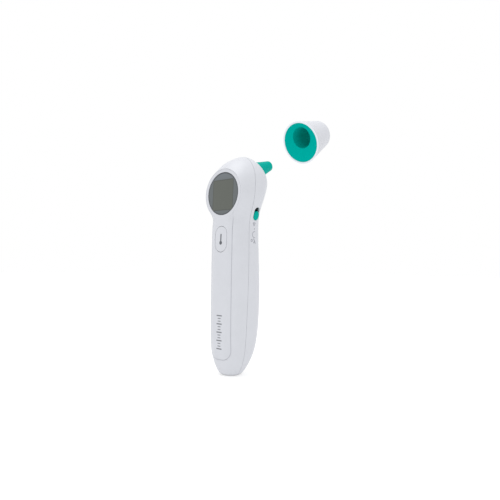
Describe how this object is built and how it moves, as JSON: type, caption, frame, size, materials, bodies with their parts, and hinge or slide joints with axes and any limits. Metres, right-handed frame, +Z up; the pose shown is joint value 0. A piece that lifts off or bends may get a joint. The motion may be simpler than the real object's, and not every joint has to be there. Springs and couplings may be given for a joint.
{
  "type": "ear thermometer",
  "caption": "Upright handheld ear thermometer with round display, scan button, side mode slider, conical ear probe and a detached conical probe cap.",
  "frame": {"origin": "centre line of the handle at the flat base; the round foot lies on z = 0", "axes": "+Z up along the handle, -Y the display side, +X the mode slider side"},
  "size_m": [0.0416, 0.1236, 0.2075],
  "materials": {
    "housing_white": "satin white moulding",
    "panel_grey": "satin cool white",
    "lens_grey": "smoked window",
    "teal": "satin teal",
    "sensor_window": "infrared window",
    "brass": "turned",
    "steel": "plated",
    "flex": "polyimide",
    "black_plastic": "moulded",
    "board": "solder mask",
    "inner_white": "moulded",
    "lcd": "liquid crystal cell",
    "rubber_grey": "elastomer",
    "ceramic_tan": "fired",
    "tray_grey": "moulded",
    "cell_sleeve": "shrink sleeve",
    "foot_grey": "soft grey",
    "foam": "closed-cell foam"
  },
  "bodies": {
    "handle": {"front_housing": "housing_white", "rear_housing": "housing_white", "front_panel": "panel_grey", "display_lens": "lens_grey", "base_foot": "foot_grey", "probe_cone": "teal", "probe_window": "sensor_window", "sensor_sleeve": "brass", "thermopile": "steel", "sensor_flex": "flex", "slide_switch": "black_plastic", "switch_board": "board", "lcd_frame": "inner_white", "lcd_glass": "lcd", "backlight": "inner_white", "lcd_connectors": "rubber_grey", "main_board": "board", "board_screws": "steel", "tact_switch": "black_plastic", "buzzer": "black_plastic", "controller": "black_plastic", "memory_chip": "black_plastic", "crystal": "steel", "passives": "ceramic_tan", "flex_connector": "inner_white", "battery_tray": "tray_grey", "tray_screws": "steel", "cell_left": "cell_sleeve", "cell_right": "cell_sleeve", "contact_bridge": "steel", "contacts_top": "steel"},
    "button": {"scan_button": "panel_grey"},
    "plunger": {"tact_plunger": "black_plastic"},
    "slider": {"mode_knob": "teal"},
    "door": {"battery_door": "housing_white", "door_foam": "foam"},
    "cap": {"cap_shell": "housing_white", "cap_liner": "teal"}
  },
  "joints": [
    {"name": "scan_button_press", "type": "slide", "parent": "handle", "child": "button", "axis": [0, 1, 0], "range_m": [0, 0.0006], "stiffness_N_per_m": 1200, "springref_m": -0.0005},
    {"name": "tact_plunger_press", "type": "slide", "parent": "handle", "child": "plunger", "axis": [0, 1, 0], "range_m": [0, 0.0006]},
    {"name": "mode_slide", "type": "slide", "parent": "handle", "child": "slider", "axis": [0.2588, 0, 0.9659], "range_m": [0, 0.0026]},
    {"name": "battery_door_pull", "type": "slide", "parent": "handle", "child": "door", "axis": [0, 1, 0], "range_m": [0, 0.02]},
    {"name": "cap_pull", "type": "slide", "parent": "handle", "child": "cap", "axis": [0, 0.8499, 0.527], "range_m": [-0.0693, 0]}
  ],
  "couplings": [
    {"joint": "tact_plunger_press", "follows": "scan_button_press", "ratio": 1}
  ]
}
